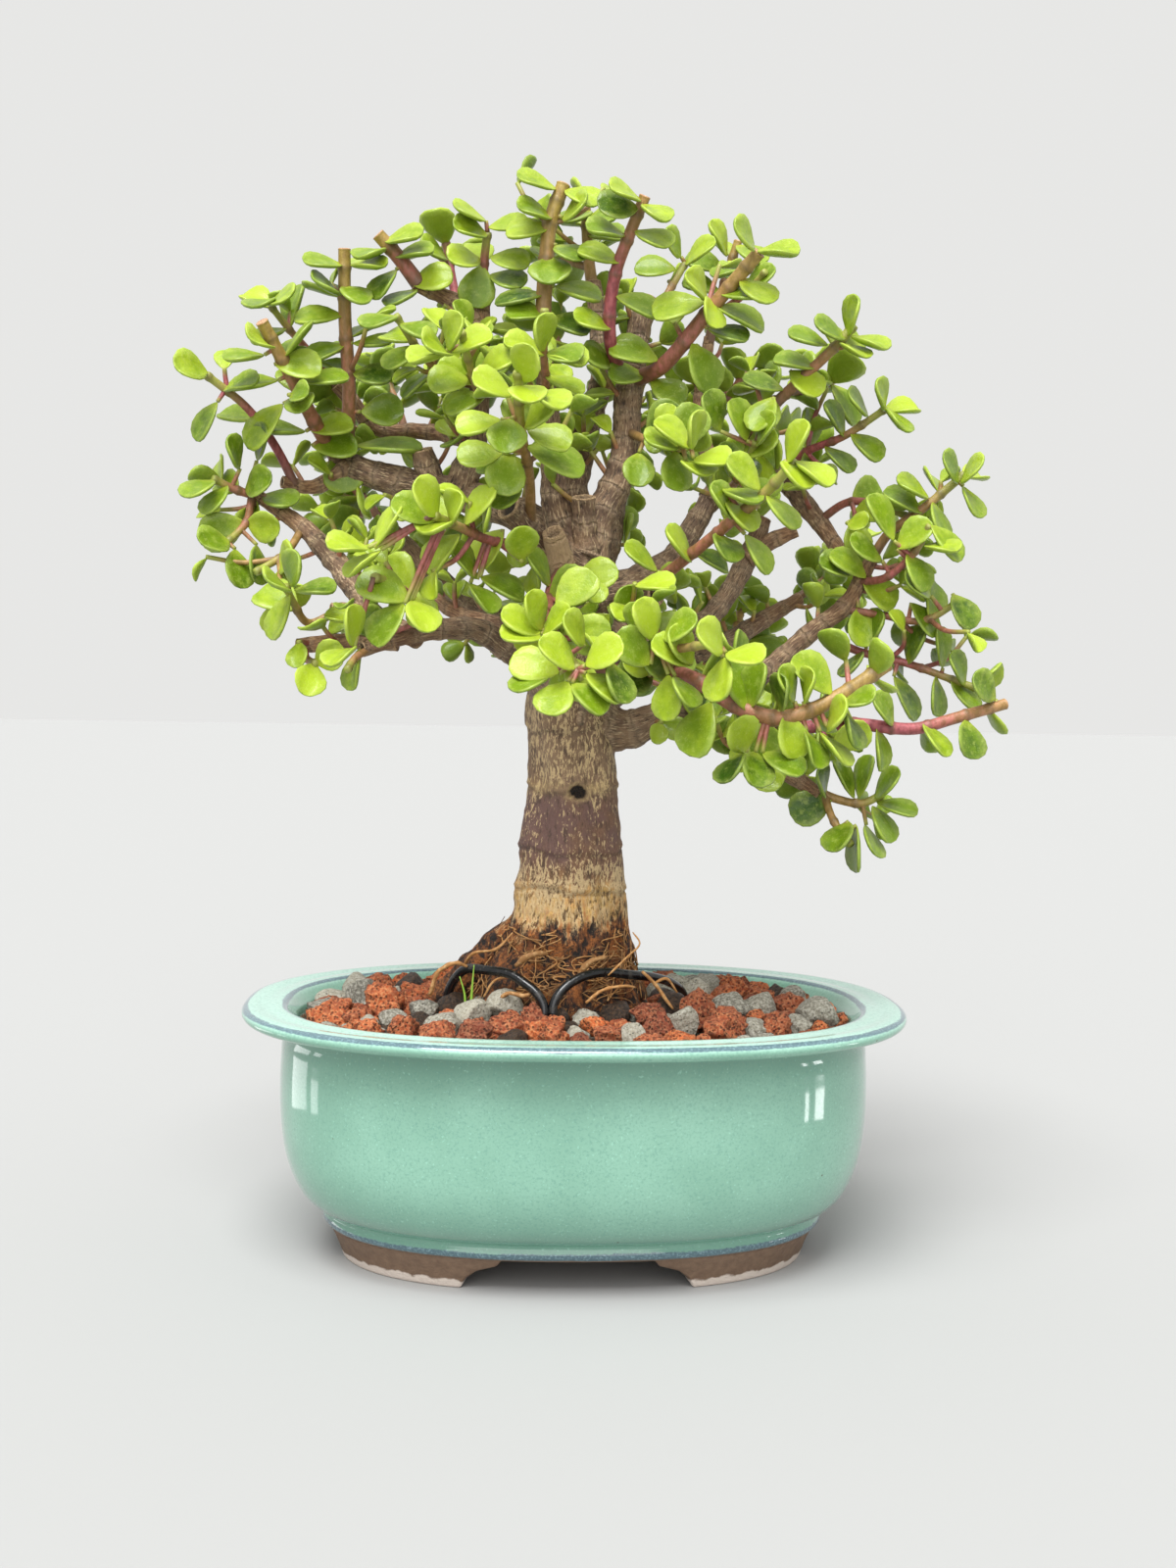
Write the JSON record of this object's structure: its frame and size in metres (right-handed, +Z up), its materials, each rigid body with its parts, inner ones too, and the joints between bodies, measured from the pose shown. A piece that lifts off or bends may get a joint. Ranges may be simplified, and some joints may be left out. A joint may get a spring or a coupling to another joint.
{
  "type": "bonsai tree in pot",
  "caption": "Dwarf jade bonsai with a thick trunk and a rounded crown of small fleshy leaves, in an oval glazed pot on bracket feet.",
  "frame": {"origin": "level of the pot's feet, under the middle of the whole object's bounding box", "axes": "+Z up along the trunk, +X along the pot's long side, to the right as seen from the front, +Y to the back"},
  "size_m": [0.2678, 0.199, 0.3473],
  "materials": {
    "celadon_glaze": "gloss",
    "screen_plastic": "matte",
    "soil": "matte",
    "lava_gravel": "matte",
    "bark": "matte",
    "black_tubing": "gloss",
    "leaf": "satin"
  },
  "bodies": {
    "root": {"pot": "celadon_glaze", "drain_screen_left": "screen_plastic", "drain_screen_right": "screen_plastic", "soil": "soil", "gravel": "lava_gravel", "trunk": "bark", "tie_left": "black_tubing", "tie_right": "black_tubing", "spray_crown_peak": "leaf", "spray_crown_purple": "leaf", "spray_crown_right": "leaf", "spray_crown_inner": "leaf", "spray_crown_far": "leaf", "spray_crown_rosette": "leaf", "spray_crown_back": "leaf", "spray_crown_red": "leaf", "spray_crown_left": "leaf", "spray_right_high": "leaf", "spray_right_reach": "leaf", "spray_right_tip": "leaf", "spray_right_front": "leaf", "spray_right_side": "leaf", "spray_right_hanging": "leaf", "spray_right_deep": "leaf", "spray_front_long": "leaf", "spray_front_rosette": "leaf", "spray_front_drop": "leaf", "spray_sweep_long": "leaf", "spray_sweep_low": "leaf", "spray_low_tip": "leaf", "spray_low_front": "leaf", "spray_left_upright": "leaf", "spray_left_leaning": "leaf", "spray_left_rear": "leaf", "spray_left_inner": "leaf", "spray_left_far": "leaf", "spray_left_end": "leaf", "spray_left_droop": "leaf", "spray_left_stub_tip": "leaf", "spray_left_under": "leaf", "spray_left_hanging": "leaf", "spray_left_front": "leaf", "spray_left_bright": "leaf", "spray_left_rosette": "leaf", "spray_top_front": "leaf", "spray_front_tall": "leaf", "spray_centre_front": "leaf", "spray_centre_right": "leaf", "spray_centre_left": "leaf", "spray_back_peak": "leaf", "spray_back_middle": "leaf", "spray_back_left_tip": "leaf", "spray_back_left_side": "leaf", "spray_back_right_tip": "leaf", "spray_back_right_side": "leaf", "spray_back_under": "leaf", "spray_back_low_right": "leaf", "spray_back_high_left": "leaf", "spray_back_high": "leaf", "spray_back_high_right": "leaf"}
  },
  "joints": []
}
